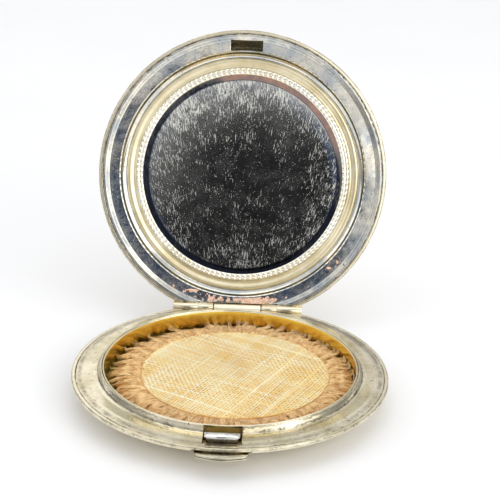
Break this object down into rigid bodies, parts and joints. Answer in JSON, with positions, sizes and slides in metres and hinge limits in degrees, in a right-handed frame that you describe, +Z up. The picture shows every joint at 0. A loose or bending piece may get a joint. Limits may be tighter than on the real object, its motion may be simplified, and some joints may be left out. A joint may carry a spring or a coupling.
{
  "type": "powder compact",
  "caption": "Round metal powder compact with a hinged mirrored lid, spring catch and thumb-piece, gilt well and a fleece puff.",
  "frame": {"origin": "centre of the flat underside of the base, on the surface it stands on", "axes": "+Z up; -Y is the front, where the thumb-piece is; +Y is the hinge; +X is right seen from the front"},
  "size_m": [0.07, 0.0944, 0.0701],
  "materials": {
    "silver": "worn polished silver with a warm patina",
    "gilt": "gilt wash, satin, a little worn",
    "tinplate": "plain tinplate",
    "steel": "plain drawn wire and spring strip",
    "powder": "matte pressed face powder",
    "mirror": "bevelled silvered glass, aged and smeared",
    "card": "plain grey-brown card",
    "fleece": "shaggy tan wool pile",
    "woven_cloth": "golden open plain weave"
  },
  "bodies": {
    "base": {"base_shell": "silver", "base_frame": "silver", "well_liner": "gilt", "powder_pan": "tinplate", "powder_cake": "powder", "hinge_knuckle_base": "silver", "hinge_leaf_base": "silver", "hinge_pin": "steel", "latch_guide": "silver", "latch_spring": "steel"},
    "latch": {"thumb_piece": "silver", "latch_slide": "silver", "catch_hook": "silver"},
    "puff": {"puff_fleece": "fleece", "puff_backing": "woven_cloth"},
    "lid": {"lid_shell": "silver", "lid_frame": "silver", "hinge_knuckle_lid_left": "silver", "hinge_knuckle_lid_right": "silver", "hinge_leaf_lid": "silver", "mirror_frame": "gilt", "mirror_bezel": "gilt", "mirror_glass": "mirror", "mirror_card": "card"}
  },
  "joints": [
    {"name": "lid_hinge", "type": "hinge", "parent": "base", "child": "lid", "pos_m": [0, 0.03276, 0.00605], "axis": [1, 0, 0], "range_deg": [0, 108.9]},
    {"name": "latch_press", "type": "slide", "parent": "base", "child": "latch", "axis": [0, 1, 0], "range_m": [0, 0.0008], "stiffness_N_per_m": 1000, "springref_m": -0.0003, "deforming": ["latch_spring"]},
    {"name": "puff_lift", "type": "slide", "parent": "base", "child": "puff", "axis": [0, 0, 1], "range_m": [0, 0.0024]}
  ]
}
